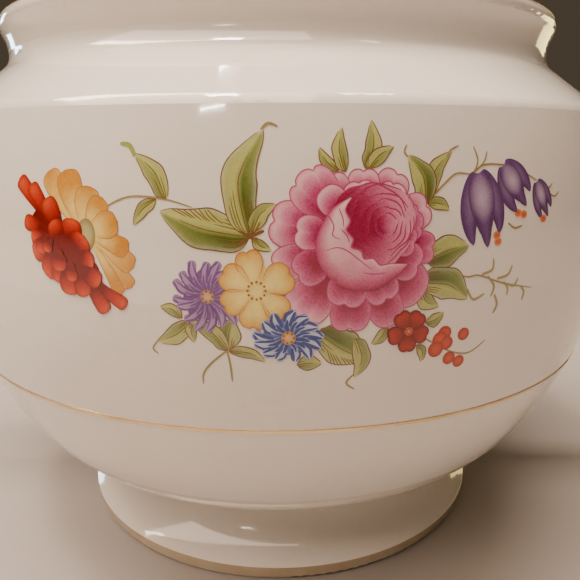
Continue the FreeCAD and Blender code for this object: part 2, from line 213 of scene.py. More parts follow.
# Each layer of print lies a little higher than the one under it, and all reach into the glaze.
FIRST_LIFT = 0.020
LAYER_STEP = 0.002
SUNK = 0.05


def on_wall(across, height, lift, turn=0.0):
    """A point of the flat design, laid on the wall. The design is turned about the bowl's axis."""
    angle = across / BELLY_RADIUS + turn
    radius = wall_radius(height) + lift
    return (radius * math.sin(angle) * MM, -radius * math.cos(angle) * MM, height * MM)


# The lid's dome is a cap of a ball. A design at LID_DESIGN_TOP would lie on the lid's axis.
DOME_TOP = 94.65
DOME_SWEEP = 69.2
LID_DESIGN_TOP = 80.0


def on_lid(across, height, lift, turn=0.0):
    """A point of the flat design, laid on the lid's dome with its top towards the knob."""
    x, y = across, height - LID_DESIGN_TOP
    radius = math.hypot(x, y)
    rise = DOME_TOP - DOME_SWEEP + math.sqrt(DOME_SWEEP ** 2 - radius ** 2) + lift
    east = x * math.cos(turn) - y * math.sin(turn)
    north = x * math.sin(turn) + y * math.cos(turn)
    return (east * MM, north * MM, rise * MM)


def between(a, b, c, d, t):
    """The place at share t from b to c, on a smooth curve through four numbers."""
    square = 2 * a - 5 * b + 4 * c - d
    cube = 3 * b - a - 3 * c + d
    return 0.5 * (2 * b + (c - a) * t + square * t * t + cube * t ** 3)


def smooth(points, closed=False, step=0.3):
    """A rounded line through points, with a new point about every step."""
    count = len(points)
    out = []
    for k in range(count if closed else count - 1):
        if closed:
            before, here, there, after = (points[(k + n) % count] for n in (-1, 0, 1, 2))
        else:
            before, here, there, after = (points[min(max(k + n, 0), count - 1)] for n in (-1, 0, 1, 2))
        parts = max(2, math.ceil(math.dist(here, there) / step))
        for n in range(parts):
            t = n / parts
            out.append(tuple(between(a, b, c, d, t) for a, b, c, d in zip(before, here, there, after)))
    if not closed:
        out.append(tuple(points[-1]))
    return out


def aside(line, k):
    """The unit vector to the left of a line at one of its points."""
    before, after = line[max(k - 1, 0)], line[min(k + 1, len(line) - 1)]
    x, y = after[0] - before[0], after[1] - before[1]
    size = math.hypot(x, y) or 1.0
    return -y / size, x / size


# Widths of the pen lines round petals and leaves.
PETAL_PEN = 0.10
FAN_PEN = 0.12
LEAF_PEN = 0.13

# The depth of a petal's scallops, as a share of its length.
SCALLOP_DEPTH = 0.07

# Leaves wider than the first number are fully shaded, and those wider than the second also get
# comb marks near the tip.
SHADED_LEAF = 2.3
COMBED_LEAF = 3.5
COMB_MARKS = 8

# The corners of a dot, and the dots in a daisy's eye.
DOT_CORNERS = 10
EYE_DOTS = 7


class Film:
    """Thin closed patches of enamel that make one printed piece."""

    def __init__(self, name, layer=0, surface=on_wall, body=BODY, turn=0.0):
        self.name = name
        self.layer = layer
        self.surface = surface
        self.body = body
        self.turn = turn
        self.points = []
        self.faces = []
        self.paints = []

    def lay(self, rows, paints, ring=False):
        """One patch from a grid of design points. With ring, each row closes on itself and the
        first row shrinks to a point."""
        lift = FIRST_LIFT + self.layer * LAYER_STEP
        self.layer += 1
        high, wide = len(rows), len(rows[0])
        start = len(self.points)
        for level in (lift, -SUNK):
            for row, tints in zip(rows, paints):
                for (across, height), tint in zip(row, tints):
                    self.points.append(self.surface(across, height, level, self.turn))
                    self.paints.append(tint)
        size = high * wide

        def at(row, column, level=0):
            """The index of a grid point, on the outside or, at level 1, inside the glaze."""
            return start + level * size + row * wide + column % wide
        quads = []
        columns = range(wide if ring else wide - 1)
        for row in range(high - 1):
            for c in columns:
                quads.append((at(row, c), at(row, c + 1), at(row + 1, c + 1), at(row + 1, c)))
                quads.append((at(row, c, 1), at(row + 1, c, 1), at(row + 1, c + 1, 1), at(row, c + 1, 1)))
        for c in columns:
            quads.append((at(high - 1, c), at(high - 1, c + 1), at(high - 1, c + 1, 1), at(high - 1, c, 1)))
            if not ring:
                quads.append((at(0, c + 1), at(0, c), at(0, c, 1), at(0, c + 1, 1)))
        if ring:
            quads.append(tuple(at(0, c) for c in reversed(range(wide))))
            quads.append(tuple(at(0, c, 1) for c in range(wide)))
        else:
            for row in range(high - 1):
                quads.append((at(row, 0), at(row + 1, 0), at(row + 1, 0, 1), at(row, 0, 1)))
                quads.append((at(row + 1, wide - 1), at(row, wide - 1),
                              at(row, wide - 1, 1), at(row + 1, wide - 1, 1)))
        (ax, ay), (bx, by), (cx, cy) = rows[high // 2 - 1][0], rows[high // 2 - 1][1], rows[high // 2][0]
        outward = (bx - ax) * (cy - ay) - (by - ay) * (cx - ax) > 0
        self.faces += quads if outward else [tuple(reversed(q)) for q in quads]

    def blob(self, outline, heart, paint, rings=8):
        """A filled outline. paint gets the share of the way out from the heart, and the point."""
        edge = smooth(outline, closed=True)
        rows = []
        for k in range(rings + 1):
            out = 0.02 + 0.98 * k / rings
            rows.append([(heart[0] + (x - heart[0]) * out, heart[1] + (y - heart[1]) * out) for x, y in edge])
        paints = [[paint(k / rings, p) for p in row] for k, row in enumerate(rows)]
        self.lay(rows, paints, ring=True)

    def strip(self, line, left, right, paint, across=8):
        """A filled band along a line. left and right give its half widths at a share of the way
        along, and paint gets that share and the place across, from -1 to 1."""
        rows, paints = [], []
        for k, (x, y) in enumerate(line):
            along = k / (len(line) - 1)
            nx, ny = aside(line, k)
            row, tints = [], []
            for c in range(across + 1):
                side = 2 * c / across - 1
                reach = side * (right(along) if side < 0 else left(along))
                row.append((x + nx * reach, y + ny * reach))
                tints.append(paint(along, side))
            rows.append(row)
            paints.append(tints)
        self.lay(rows, paints)

    def stroke(self, points, width, tint, ends=(0.35, 0.2)):
        """A pen line, thinner at its ends."""
        line = smooth(points)

        def half(along):
            swell = math.sin(math.pi * along) ** 0.6 if 0 < along < 1 else 0.0
            end = ends[0] + (ends[1] - ends[0]) * along
            return width / 2 * (end + (1 - end) * swell)
        self.strip(line, half, half, lambda along, side: tint, across=2)
        self.layer -= 1

    def petal(self, base, tip, width, tones, edge, bend=0.0, pen=None):
        """A long petal with a round end. tones run from base to tip, edge is the colour of its
        sides, and pen is the paint that outlines its end."""
        length = math.dist(base, tip)
        nx, ny = aside([base, tip], 0)
        bow = bend * length
        middle = ((base[0] + tip[0]) / 2 + nx * bow, (base[1] + tip[1]) / 2 + ny * bow)
        spine = smooth([base, middle, tip], step=0.18)
        cap = min(0.5, width / 2 / length)

        def half(share):
            body = min(share / (1 - cap), 1)
            round_end = math.sqrt(max(1 - (max(share - 1 + cap, 0) / cap) ** 2, 0))
            return max(width / 2 * (0.3 + 0.7 * body * body * (3 - 2 * body)) * round_end, 0.03)
        tint = fade(*tones)

        def paint(along, side):
            return mixed(tint(along), edge, 0.8 * abs(side) ** 3 * min(along * 2, 1))
        self.strip(spine, half, half, paint, across=6)
        if pen:
            last = len(spine) - 1
            loop = []
            for way, steps in ((1, range(last // 3, last + 1, 2)), (-1, range(last, last // 3 - 1, -2))):
                for n in steps:
                    sx, sy = aside(spine, n)
                    reach = way * half(n / last)
                    loop.append((spine[n][0] + sx * reach, spine[n][1] + sy * reach))
            self.stroke(loop, PETAL_PEN, pen, ends=(0.3, 0.3))

    def dot(self, centre, radius, tint, rim=None, stretch=1.0):
        """A round spot, with a darker or lighter rim."""
        ring = [(centre[0] + radius * math.cos(a), centre[1] + radius * stretch * math.sin(a))
                for a in (math.tau * k / DOT_CORNERS for k in range(DOT_CORNERS))]
        self.blob(ring, centre, lambda out, p: mixed(tint, rim or tint, out ** 2), rings=3)

    def finish(self):
        """Make the mesh, and let it ride on its body."""
        mesh = bpy.data.meshes.new(self.name)
        mesh.from_pydata(self.points, [], self.faces)
        layer = mesh.color_attributes.new("paint", "FLOAT_COLOR", "POINT")
        layer.data.foreach_set("color", [part for tint in self.paints for part in tint])
        mesh.shade_smooth()
        mesh.set_sharp_from_angle(angle=math.radians(35))
        mesh.materials.append(enamel)
        piece = bpy.data.objects.new(self.name, mesh)
        bpy.context.scene.collection.objects.link(piece)
        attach(piece, self.body)


def shade(tint, dots=0.4):
    """A paint with its share of print dots."""
    return (*tint[:3], dots)


def fade(*stops):
    """A run of colours: pairs of a share and a colour."""
    def tint(share):
        for (low, one), (high, other) in zip(stops, stops[1:]):
            if share <= high:
                return mixed(one, other, (share - low) / (high - low))
        return stops[-1][1]
    return tint


def around(centre, radius, degrees):
    """The point at an angle round a centre."""
    angle = math.radians(degrees)
    return centre[0] + radius * math.cos(angle), centre[1] + radius * math.sin(angle)


BROWN = shade(colour(122, 88, 52), 0.2)
OLIVE_LIGHT = shade(colour(198, 198, 126), 0.15)
OLIVE = shade(colour(152, 160, 84), 0.25)
OLIVE_DARK = shade(colour(78, 96, 34), 0.4)
TWIG = shade(colour(152, 134, 86), 0.2)

# A daisy's petal edge, petal, pen and eye: the eye is its radius, colour and rim.
PURPLES = (shade(colour(172, 140, 184), 0.15), shade(colour(118, 80, 142), 0.4),
           shade(colour(112, 74, 134), 0.3),
           (0.75, shade(colour(206, 164, 134), 0.3), shade(colour(150, 106, 96), 0.4)))
BLUES = (shade(colour(190, 198, 222), 0.1), shade(colour(86, 102, 168), 0.4),
         shade(colour(56, 70, 134), 0.3),
         (0.75, shade(colour(220, 176, 120), 0.3), shade(colour(176, 122, 84), 0.4)))

# The yellow, orange and red paints.
CREAM = shade(colour(238, 216, 128), 0.12)
AMBER = shade(colour(214, 154, 62), 0.4)
STRAW = shade(colour(236, 206, 124), 0.15)
OCHRE = shade(colour(202, 134, 44), 0.35)
GOLD_PEN = shade(colour(182, 122, 62), 0.2)
FIRE = shade(colour(208, 78, 42), 0.3)
RED = shade(colour(184, 46, 26), 0.45)
MAROON = shade(colour(112, 16, 10), 0.35)


def leaf(fill, base, tip, width, bend, dark, hatch=4, lean=0.0, comb=0):
    """A leaf from its base to its tip. bend bows its vein, as a share of its length, and dark is
    the shaded side, 1 or -1. hatch and comb are the numbers of long marks from the base and of
    short marks near the tip, and lean makes one side wider."""
    length = math.dist(base, tip)
    middle = ((base[0] + tip[0]) / 2, (base[1] + tip[1]) / 2)
    nx, ny = aside([base, tip], 0)
    vein = smooth([base, (middle[0] + nx * bend * length, middle[1] + ny * bend * length), tip], step=0.3)

    def half(share, wide):
        return max(width / 2 * wide * math.sin(math.pi * share ** 0.82) ** 0.85 * (1.06 - 0.2 * share), 0.03)

    def left(share):
        return half(share, 1 + lean) * (1 + 0.10 * math.sin(13 * share))

    def right(share):
        return half(share, 1 - lean) * (1 + 0.09 * math.sin(12 * share + 2))

    def paint(along, side):
        deep = min(max(0.45 + 3.0 * side * dark, 0), 1) * (1.0 if width > SHADED_LEAF else 0.55)
        tint = mixed(OLIVE_LIGHT, OLIVE, 0.6 * (1 - along) + 0.4 * abs(side))
        tint = mixed(tint, OLIVE_DARK, deep * (1.2 - 0.7 * along) * (1.15 - 0.5 * abs(side)))
        return mixed(tint, GLAZE, max(0, abs(side) - 0.72) * 0.9 + max(0, along - 0.9) * 3)
    fill.strip(vein, left, right, paint)
    leaf_edges(fill, vein, left, right)
    last = len(vein) - 1
    middle_line = [vein[k] for k in (0, last // 4, last // 2, last * 3 // 4)]
    fill.stroke(middle_line, LEAF_PEN * 0.9, BROWN, ends=(0.9, 0.1))
    leaf_hatch(fill, vein, left, right, hatch)
    leaf_comb(fill, vein, lambda share: -dark * half(share, 1.0), comb)


def leaf_edges(fill, vein, left, right):
    """A pen line down each side of a leaf. The left one stops short of the tip, and the right one
    starts a little above the base."""
    last = len(vein) - 1
    for way, reach, first, stop in ((1, left, 0.0, 0.93), (-1, right, 0.06, 1.0)):
        edge = []
        for k in range(math.floor(first * last), math.floor(stop * last) + 1):
            x, y = aside(vein, k)
            out = way * reach(k / last) * 1.04
            edge.append((vein[k][0] + x * out, vein[k][1] + y * out))
        fill.stroke(edge[::3] + edge[-1:], LEAF_PEN, BROWN)


def beside(line, share, reach):
    """The point at a share of the way along a line, and reach to the left of it."""
    spot = math.floor(share * (len(line) - 1))
    x, y = aside(line, spot)
    return line[spot][0] + x * reach, line[spot][1] + y * reach


def leaf_hatch(fill, vein, left, right, count):
    """Long pen marks from a leaf's base, by turns on its right and on its left."""
    for k in range(count):
        pair = k // 2
        way, reach = (1, left) if k % 2 else (-1, right)
        out = (0.35 + 0.2 * pair) * way
        marks = [beside(vein, share, out * reach(share)) for share in (0.04, 0.16, 0.28, 0.42 - 0.05 * pair)]
        fill.stroke(marks, LEAF_PEN * 0.8, BROWN, ends=(0.8, 0.1))


def leaf_comb(fill, vein, reach, count):
    """Short pen marks that slant in from a leaf's edge, near its tip."""
    for k in range(count):
        share = 0.50 + 0.42 * k / count
        marks = [beside(vein, share - back, out * reach(share - back))
                 for back, out in ((0.0, 1.06), (0.07, 0.72), (0.16, 0.45))]
        fill.stroke(marks, LEAF_PEN * 0.9, BROWN, ends=(0.6, 0.1))


def fan_petal(fill, base, aim, length, spread, tones, pen, scallops, start, flank):
    """A petal that widens from its base to a scalloped edge. aim and spread are in degrees. tones
    run from base to edge, pen is the paint of its outline, start is the share of the length where
    it begins, and flank is a colour that its two sides turn to."""
    columns = max(14, 8 * scallops)
    count = max(8, math.ceil(length / 0.35))
    edge = []
    for c in range(columns + 1):
        share = c / columns
        ripple = abs(math.sin(math.pi * scallops * share)) ** 0.6
        round_off = 1 - 0.28 * abs(2 * share - 1) ** 3
        edge.append(length * (1 - SCALLOP_DEPTH + SCALLOP_DEPTH * ripple) * round_off)
    rows, paints = [], []
    tint = fade(*tones)
    for r in range(count + 1):
        out = start + (1 - start) * r / count
        squeeze = math.sin(math.pi / 2 * min(1, 0.25 + out)) ** 0.5
        rows.append([around(base, edge[c] * out, aim + (c / columns - 0.5) * spread * squeeze)
                     for c in range(columns + 1)])
        paints.append([mixed(tint(out), flank, 0.75 * abs(2 * c / columns - 1) ** 2.5)
                       for c in range(columns + 1)])
    fill.lay(rows, paints)
    low, high = rows[count // 2], rows[count * 3 // 4]
    fill.stroke([low[0], high[0], *rows[-1], high[-1], low[-1]], FAN_PEN, pen, ends=(0.2, 0.2))


# ---------------------------------------------------------------- the flower spray

def rose(centre, layer):
    """A full pink rose: a scalloped skirt, a middle ring, a round cup and one pale rolled petal.
    Its places are measured from its centre."""
    pale = shade(colour(236, 186, 196), 0.10)
    pink = shade(colour(218, 136, 166), 0.30)
    deep = shade(colour(188, 80, 124), 0.55)
    dark = shade(colour(150, 34, 70), 0.45)
    pen = shade(colour(176, 72, 116), 0.2)

    def at(point):
        return centre[0] + point[0], centre[1] + point[1]
    tones = ((0.2, dark), (0.52, dark), (0.68, deep), (0.83, pink), (0.95, pale), (1.0, pink))
    warm = ((0.2, dark), (0.66, dark), (0.84, deep), (0.95, mixed(pink, deep, 0.35)), (1.0, pink))
    petals = (  # base, aim, length, spread, scallops and whether it lies in warm shadow
        ((2.0, 2.8), 62, 5.6, 56, 2, 0), ((0.9, 3.0), 90, 5.1, 56, 2, 0),
        ((-0.6, 2.8), 112, 5.1, 50, 2, 0), ((2.4, 1.8), 25, 6.2, 52, 2, 0),
        ((2.4, 0.4), -4, 6.4, 46, 2, 1), ((1.6, -0.7), -36, 7.3, 60, 1, 1),
        ((-1.4, 1.4), 166, 7.4, 54, 2, 0), ((-1.0, 2.3), 130, 7.0, 60, 3, 0),
        ((-2.0, 0.4), 198, 6.6, 46, 2, 0), ((-1.4, -1.1), 231, 7.4, 56, 3, 0),
        ((1.1, -1.6), 297, 7.1, 46, 1, 1), ((0.0, -1.6), 266, 6.9, 52, 2, 1),
        ((-1.2, 1.4), 172, 5.0, 60, 2, 0), ((-1.4, 0.4), 212, 5.4, 58, 2, 1),
        ((1.0, -0.3), 297, 5.7, 56, 2, 1), ((0.1, -0.1), 258, 5.8, 62, 2, 1),
        ((2.0, 0.4), -25, 5.6, 62, 2, 1), ((0.9, 2.4), 97, 4.6, 66, 2, 0),
        ((2.2, 1.9), 12, 5.2, 62, 3, 1), ((2.0, 2.3), 54, 5.0, 64, 3, 0),
        ((-0.2, 2.6), 132, 4.7, 56, 1, 0), ((2.2, 1.6), -14, 4.5, 60, 2, 1),
        ((2.2, 2.4), 32, 4.5, 66, 3, 1))
    for number, (base, aim, length, spread, scallops, shadow) in enumerate(petals):
        film = Film(f"rose_petal_{number + 1:02d}", layer + 2 * number)
        fan_petal(film, at(base), aim, length, spread, warm if shadow else tones, pen, scallops,
                  start=0.3, flank=deep)
        film.finish()
    ground = Film("rose_ground", layer - 1)
    heart = at((0.3, 0.2))
    ground.blob([around(heart, 5.6, a) for a in range(0, 360, 30)], heart, lambda out, p: dark)
    ground.finish()
    top = layer + 2 * len(petals)
    rose_cup(at, top, pale, pink, deep, dark)
    rose_front(at, top + 16, pale, pink, deep, dark, pen)


def rose_cup(at, layer, pale, pink, deep, dark):
    """The rose's cup: rings of petals that grow smaller towards the east, each with its shadow."""
    cup = Film("rose_cup", layer)
    # How far each ring reaches, how far east it lies, and where its drawn edge starts and stops.
    rings = ((4.4, 0.0, (50, 250)), (3.8, 0.35, (-75, 120)), (3.2, 0.7, (-70, 110)), (2.5, 1.0, (-80, 100)),
             (1.8, 1.25, (-70, 110)), (1.1, 1.4, (-60, 100)))
    for number, (reach, east, sweep) in enumerate(rings):
        heart = at((1.9 + east, 2.4 + 0.1 * east))

        def bumpy(a, heart=heart, reach=reach, number=number):
            """A point of the cup's uneven edge."""
            wave = 0.05 * math.sin(math.radians((3 + number % 3) * a + 80 * number))
            return around(heart, reach * (1 + wave + 0.02 * math.sin(math.radians(9 * a))), a)

        def paint(out, p, heart=heart, reach=reach):
            east_share = (p[0] - heart[0]) / reach * 0.5 + 0.5
            low = (heart[1] - p[1]) / reach
            tint = mixed(dark, deep, east_share * 2.2 - 0.2)
            tint = mixed(tint, pink, (east_share - 0.30) * 1.5 - max(0, low) * 0.25)
            return mixed(tint, pale, max(0, out - 0.75) * 1.4 * max(0, east_share - 0.3))
        cup.blob([bumpy(a) for a in range(0, 360, 15)], heart, paint)
        for first, last in ((sweep[0], sum(sweep) / 2 - 10), (sum(sweep) / 2 + 5, sweep[1])):
            edge = [bumpy(first + (last - first) * k / 6) for k in range(7)]
            cup.stroke(edge, 0.17, mixed(deep, dark, 0.4))
        cup.layer += 1
        for k in range(4):
            inner = reach * (0.93 - 0.07 * k)
            first = 118 + 9 * k + 6 * number
            cup.stroke([around(heart, inner, first + n * (16 + 2 * k)) for n in range(5)], 0.12, dark)
    cup.finish()


def rose_front(at, layer, pale, pink, deep, dark, pen):
    """The rose's pale front petal, which rolls outwards on the left and lies in shade on the right."""
    front = Film("rose_front", layer)
    outer = [at(p) for p in ((-0.5, 5.3), (-2.6, 3.9), (-4.0, 0.8), (-3.3, -1.8), (-1.2, -3.6), (1.6, -4.1),
                             (4.3, -2.9), (5.6, -1.6))]
    inner = [at(p) for p in ((-0.4, 5.2), (-1.0, 4.1), (-0.5, 3.0), (-0.9, 2.1), (-0.2, 1.2), (-0.4, 0.4),
                             (0.6, 0.0), (0.9, -0.8), (1.9, -0.8), (2.6, -1.5), (3.7, -1.4), (5.5, -1.5))]
    out_line = smooth(outer, step=0.3)
    in_line = smooth(inner, step=0.05)
    palest = shade(colour(240, 200, 204), 0.1)
    rolled = fade((0.0, deep), (0.14, pale), (0.6, palest), (0.82, pink), (1.0, deep))
    shaded = fade((0.0, pale), (0.2, pink), (0.45, mixed(pink, deep, 0.4)), (0.75, deep), (1.0, dark))
    rows, paints = [], []
    for k, (ox, oy) in enumerate(out_line):
        along = k / (len(out_line) - 1)
        ix, iy = in_line[round(along * (len(in_line) - 1))]
        rows.append([(ix + (ox - ix) * c / 10, iy + (oy - iy) * c / 10) for c in range(11)])
        paints.append([mixed(rolled(c / 10), shaded(c / 10), along * 2 - 0.45) for c in range(11)])
    front.lay(rows, paints)
    front.stroke(inner, 0.16, pen)
    front.stroke(outer[:4], 0.12, pen)
    for crease in (((-3.0, 0.1), (-1.9, 0.4), (-0.9, 0.1), (0.3, -0.8), (1.7, -1.9)),
                   ((-2.8, 3.6), (-2.2, 2.6), (-2.3, 1.6), (-1.5, 1.2)),
                   ((-1.7, 4.3), (-1.3, 3.3), (-1.2, 2.4)),
                   ((-1.5, 2.2), (-0.9, 1.6), (-0.6, 0.8)),
                   ((0.8, -2.2), (2.0, -2.4), (3.4, -2.3))):
        front.stroke([at(p) for p in crease], 0.13, pen)
    front.finish()


def daisy(name, centre, radius, petals, paints, pen_width, layer, squash=1.0, **place):
    """A daisy of narrow looped petals round a dotted eye. squash flattens it from above."""
    pale, deep, pen, eye = paints
    film = Film(name, layer, **place)
    dice = random.Random(petals)
    ground = [around(centre, radius * (0.74 if k % 2 else 0.66), 360 * k / 24) for k in range(24)]
    film.blob([(x, centre[1] + (y - centre[1]) * squash) for x, y in ground], centre, lambda out, p: deep)
    tones = ((0.0, deep), (0.4, mixed(pale, deep, 0.35)), (0.85, pale), (1.0, pale))
    for k in range(petals):
        aim = 360 * (k + dice.uniform(-0.15, 0.15)) / petals
        far = around((0, 0), radius * dice.uniform(0.88, 1.06), aim)
        tip = (centre[0] + far[0], centre[1] + far[1] * squash)
        root = around(centre, eye[0] * 0.7, aim)
        wide = 2.0 * math.pi * radius / petals * 0.58
        bend = dice.uniform(0.10, 0.22)
        film.petal(root, tip, wide, tones, deep, bend)
        x, y = aside([root, tip], 0)
        length = math.dist(root, tip)
        for lean, first, last in ((-0.42, 0.3, 0.97), (0.42, 0.45, 1.0), (0.05, 0.0, 0.55)):
            marks = []
            for share, spread in ((first, 0.6), ((first + last) / 2, 0.95), (last, 0.3)):
                out = 4 * bend * length * share * (1 - share) + lean * wide * spread
                marks.append((root[0] + (tip[0] - root[0]) * share + x * out,
                              root[1] + (tip[1] - root[1]) * share + y * out))
            film.stroke(marks, pen_width * dice.uniform(0.8, 1.7), pen, ends=(0.4, 0.2))
        film.layer += 1
    film.dot(centre, *eye)
    for k in range(EYE_DOTS):
        film.dot(around(centre, eye[0] * 0.72, 51 * k), 0.12, BROWN)
        film.layer -= 1
    film.finish()


def blossom(name, centre, petals, tones, flank, pen, eye, dots, dot_ring, dot_tint, layer, **place):
    """An open flower of broad petals, each given as its aim, length and spread. eye is the radius
    and colours of its middle, and dots stand in a ring round it."""
    film = Film(name, layer, **place)
    film.dot(centre, 0.6 * petals[0][1], mixed(tones[0][1], flank, 0.5))
    for aim, length, spread in petals:
        fan_petal(film, centre, aim, length, spread, tones, pen, scallops=2, start=0.05, flank=flank)
    film.dot(centre, *eye)
    for k in range(dots):
        film.dot(around(centre, dot_ring, 360 * k / dots), 0.13, dot_tint)
        film.layer -= 1
    film.finish()


def yellow_blossom(name, centre, size, layer, **place):
    """A six-petalled yellow flower with a ring of dots."""
    petals = tuple((aim, length * size, spread) for aim, length, spread in (
        (104, 4.2, 56), (152, 4.0, 62), (207, 3.9, 60), (265, 4.1, 66), (-40, 3.9, 58), (28, 4.0, 72)))
    tones = ((0.0, CREAM), (0.62, CREAM), (0.86, mixed(CREAM, AMBER, 0.5)), (1.0, AMBER))
    blossom(name, centre, petals, tones, mixed(CREAM, AMBER, 0.8), GOLD_PEN, (0.6, CREAM), 12, 0.9 * size,
            shade(colour(140, 88, 44), 0.1), layer, **place)


def red_blossom(name, centre, layer, **place):
    """A small five-petalled red flower."""
    petals = tuple((aim, 2.4, 72) for aim in (118, 195, 55, -90, -18))
    tones = ((0.0, MAROON), (0.5, mixed(MAROON, RED, 0.5)), (0.85, RED), (1.0, MAROON))
    eye = (0.5, shade(colour(216, 140, 96), 0.2), RED)
    blossom(name, centre, petals, tones, MAROON, shade(colour(110, 20, 18), 0.3), eye, 5, 0.28,
            shade(colour(150, 70, 50), 0.2), layer, **place)


def bell(name, top, mouth, width, layer):
    """A hanging bell of four long petals, the middle one with a pale side."""
    dark = shade(colour(94, 62, 108), 0.4)
    mid = shade(colour(124, 92, 142), 0.4)
    pale = shade(colour(190, 168, 192), 0.2)
    fill = Film(name, layer)
    x, y = aside([top, mouth], 0)
    length = math.dist(top, mouth)
    dx, dy = (mouth[0] - top[0]) / length, (mouth[1] - top[1]) / length

    def spot(out, along):
        return top[0] + x * out * width + dx * along * length, top[1] + y * out * width + dy * along * length
    petals = (  # the side it leans to, how far, its length and how much it shines
        (0.15, 0.06, 1.03, 0.3), (1, 0.36, 0.88, 0.15), (-1, 0.36, 0.94, 0.2), (0, -0.02, 0.93, 1.0))
    for side, reach, share, light in petals:
        spine = smooth([spot(0.04 * side, 0.0), spot(reach * 0.75 * side, 0.36), spot(reach * side, 0.68),
                        spot(reach * 0.9 * side, share)], step=0.25)
        wide = width * (0.31 if light == 1 else 0.23)

        def half(t, wide=wide):
            return max(wide * math.sin(math.pi * (0.06 + 0.94 * t) ** 0.75) ** 0.75, 0.04)

        def paint(along, across, light=light):
            tint = mixed(mid, dark, abs(across) ** 1.5 * 1.1 + along * 0.5)
            shine = max(0, 1 - 2.4 * math.hypot((along - 0.38) * 1.1, across * 0.42))
            return mixed(tint, pale, light * shine * 1.15)
        fill.strip(spine, half, half, paint)
    fill.finish()


def twig(lines, *points, width=0.2, tint=TWIG):
    """A thin stem through points."""
    lines.stroke(points, width, tint, ends=(0.8, 0.3))


def spray_leaves():
    """The front spray's leaves, each with its ends, width, bend, shaded side, lean and long marks."""
    for number, (base, tip, width, bend, dark, lean, hatch) in enumerate((
            ((-3.0, 55.7), (-12.2, 58.0), 4.0, 0.05, 1, 0.0, 6),
            ((-3.2, 56.0), (-1.7, 65.9), 3.5, 0.17, -1, 0.0, 6),
            ((-2.7, 56.1), (-0.4, 58.9), 1.6, 0.16, 1, 0.0, 3),
            ((-2.8, 55.6), (-0.9, 54.4), 1.1, -0.1, 1, 0.0, 2),
            ((-11.6, 59.3), (-15.0, 63.6), 2.0, -0.12, 1, 0.1, 2),
            ((-12.6, 59.2), (-15.1, 56.6), 1.3, -0.1, -1, 0.0, 1),
            ((3.8, 45.8), (9.4, 42.4), 4.0, -0.05, 1, 0.1, 6),
            ((7.8, 45.0), (8.0, 40.4), 1.9, 0.16, 1, 0.0, 1),
            ((1.7, 42.2), (4.3, 42.3), 1.7, 0.05, -1, 0.0, 2),
            ((-5.5, 43.9), (-4.8, 47.4), 2.4, 0.05, 1, 0.0, 4),
            ((-5.5, 43.8), (-9.4, 47.0), 1.7, -0.1, 1, 0.0, 2),
            ((-5.4, 43.7), (-1.6, 42.6), 1.2, 0.12, -1, 0.0, 2),
            ((-9.2, 46.9), (-13.1, 44.4), 2.0, 0.08, -1, 0.0, 3),
            ((-9.2, 46.9), (-9.0, 44.6), 1.2, -0.08, 1, 0.0, 2),
            ((-10.2, 47.2), (-12.5, 48.3), 1.2, -0.15, 1, 0.0, 1),
            ((6.5, 61.9), (6.2, 66.1), 1.5, 0.1, -1, 0.0, 2),
            ((5.8, 62.0), (3.9, 64.2), 1.1, 0.1, 1, 0.0, 1),
            ((8.6, 62.2), (9.3, 66.8), 1.7, -0.12, 1, 0.0, 2),
            ((8.9, 62.2), (11.6, 64.3), 1.4, 0.08, -1, 0.0, 1),
            ((15.1, 58.7), (13.2, 63.4), 2.6, -0.15, -1, 0.0, 4),
            ((15.6, 59.2), (18.2, 63.8), 1.7, 0.15, -1, 0.0, 2),
            ((15.3, 58.7), (17.9, 58.0), 1.3, 0.12, 1, 0.0, 1),
            ((15.3, 52.8), (20.4, 54.2), 3.2, 0.06, -1, 0.0, 4),
            ((14.9, 50.5), (20.6, 48.4), 3.4, 0.12, 1, 0.1, 6),
            ((14.8, 50.0), (17.0, 47.9), 1.8, -0.2, 1, 0.0, 2),
            ((11.2, 46.1), (9.6, 44.2), 1.2, 0.1, 1, 0.0, 1),
            ((15.6, 46.2), (17.6, 47.2), 1.5, -0.15, -1, 0.0, 1),
            ((14.8, 43.7), (15.5, 41.6), 1.1, 0.2, 1, 0.0, 1))):
        film = Film(f"spray_leaf_{number + 1:02d}", 2 * (number % 4))
        comb = COMB_MARKS if width > COMBED_LEAF else 0
        leaf(film, base, tip, width, bend, dark, hatch, lean, comb)
        film.finish()


